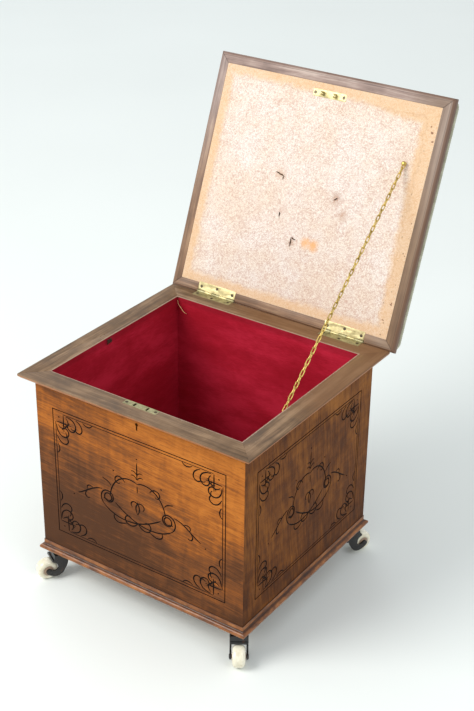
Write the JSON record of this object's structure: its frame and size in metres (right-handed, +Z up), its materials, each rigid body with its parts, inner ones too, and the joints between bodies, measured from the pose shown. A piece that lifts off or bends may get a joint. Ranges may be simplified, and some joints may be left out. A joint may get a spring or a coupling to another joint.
{
  "type": "box ottoman",
  "caption": "Walnut-veneered box ottoman on ceramic casters, with a padded lid held open by a brass chain, crimson lining, butt hinges and a link-plate lock.",
  "frame": {"origin": "on the floor under the middle of the carcase", "axes": "+X to the right along the front, +Y to the back, +Z up"},
  "size_m": [0.442, 0.5837, 0.762],
  "materials": {
    "walnut_veneer": "satin varnish",
    "rim_walnut": "worn wax",
    "moulding_walnut": "polished",
    "lid_walnut": "dull",
    "pine": "raw",
    "crimson_cloth": "matt",
    "printed_cotton": "matt",
    "pad_damask": "slight sheen",
    "braid": "matt",
    "brass": "worn",
    "black_iron": "japanned",
    "glazed_wheel": "crazed glaze"
  },
  "bodies": {
    "box": {"front_panel": "walnut_veneer", "back_panel": "walnut_veneer", "left_panel": "walnut_veneer", "right_panel": "walnut_veneer", "bottom_board": "pine", "corner_blocks": "pine", "rim_front": "rim_walnut", "rim_back": "rim_walnut", "rim_left": "rim_walnut", "rim_right": "rim_walnut", "base_moulding_front": "moulding_walnut", "base_moulding_back": "moulding_walnut", "base_moulding_left": "moulding_walnut", "base_moulding_right": "moulding_walnut", "lining_front": "crimson_cloth", "lining_back": "crimson_cloth", "lining_left": "crimson_cloth", "lining_right": "crimson_cloth", "lining_floor": "crimson_cloth", "lock_case": "brass", "lock_selvedge": "brass", "hinge_box_leaf_left": "brass", "hinge_box_leaf_right": "brass", "hinge_pins": "brass", "box_screws": "brass", "chain_wall_eye": "brass", "stay_chain": "brass", "caster_plates": "black_iron", "caster_screws": "black_iron"},
    "lid": {"hinge_lid_leaf_left": "brass", "hinge_lid_leaf_right": "brass", "lid_screws": "brass", "lid_rail_front": "lid_walnut", "lid_rail_back": "lid_walnut", "lid_rail_left": "lid_walnut", "lid_rail_right": "lid_walnut", "lid_board": "pine", "lid_cloth": "printed_cotton", "lid_pad": "pad_damask", "lid_braid": "braid", "lock_link_plate": "brass", "chain_lid_screw": "brass"},
    "lock_bolt": {"lock_bolt": "brass"},
    "caster_front_right": {"caster_fork_front_right": "black_iron", "caster_axle_front_right": "black_iron"},
    "wheel_front_right": {"caster_wheel_front_right": "glazed_wheel"},
    "caster_back_right": {"caster_fork_back_right": "black_iron", "caster_axle_back_right": "black_iron"},
    "wheel_back_right": {"caster_wheel_back_right": "glazed_wheel"},
    "caster_back_left": {"caster_fork_back_left": "black_iron", "caster_axle_back_left": "black_iron"},
    "wheel_back_left": {"caster_wheel_back_left": "glazed_wheel"},
    "caster_front_left": {"caster_fork_front_left": "black_iron", "caster_axle_front_left": "black_iron"},
    "wheel_front_left": {"caster_wheel_front_left": "glazed_wheel"}
  },
  "joints": [
    {"name": "lid_hinge", "type": "hinge", "parent": "box", "child": "lid", "pos_m": [0, 0.2026, 0.3853], "axis": [1, 0, 0], "range_deg": [0, 111.5], "deforming": ["stay_chain"]},
    {"name": "lock_bolt_slide", "type": "slide", "parent": "box", "child": "lock_bolt", "axis": [1, 0, 0], "range_m": [0, 0.005]},
    {"name": "swivel_front_right", "type": "hinge", "parent": "box", "child": "caster_front_right", "pos_m": [0.179, -0.163, 0.047], "axis": [0, 0, 1], "continuous": true},
    {"name": "wheel_spin_front_right", "type": "hinge", "parent": "caster_front_right", "child": "wheel_front_right", "pos_m": [0.1941, -0.18538, 0.0175], "axis": [0.829, 0.5592, 0], "continuous": true},
    {"name": "swivel_back_right", "type": "hinge", "parent": "box", "child": "caster_back_right", "pos_m": [0.179, 0.163, 0.047], "axis": [0, 0, 1], "continuous": true},
    {"name": "wheel_spin_back_right", "type": "hinge", "parent": "caster_back_right", "child": "wheel_back_right", "pos_m": [0.19041, 0.18747, 0.0175], "axis": [-0.9063, 0.4226, 0], "continuous": true},
    {"name": "swivel_back_left", "type": "hinge", "parent": "box", "child": "caster_back_left", "pos_m": [-0.179, 0.163, 0.047], "axis": [0, 0, 1], "continuous": true},
    {"name": "wheel_spin_back_left", "type": "hinge", "parent": "caster_back_left", "child": "wheel_back_left", "pos_m": [-0.20238, 0.1765, 0.0175], "axis": [-0.5, -0.866, 0], "continuous": true},
    {"name": "swivel_front_left", "type": "hinge", "parent": "box", "child": "caster_front_left", "pos_m": [-0.179, -0.163, 0.047], "axis": [0, 0, 1], "continuous": true},
    {"name": "wheel_spin_front_left", "type": "hinge", "parent": "caster_front_left", "child": "wheel_front_left", "pos_m": [-0.1925, -0.18638, 0.0175], "axis": [0.866, -0.5, 0], "continuous": true}
  ]
}
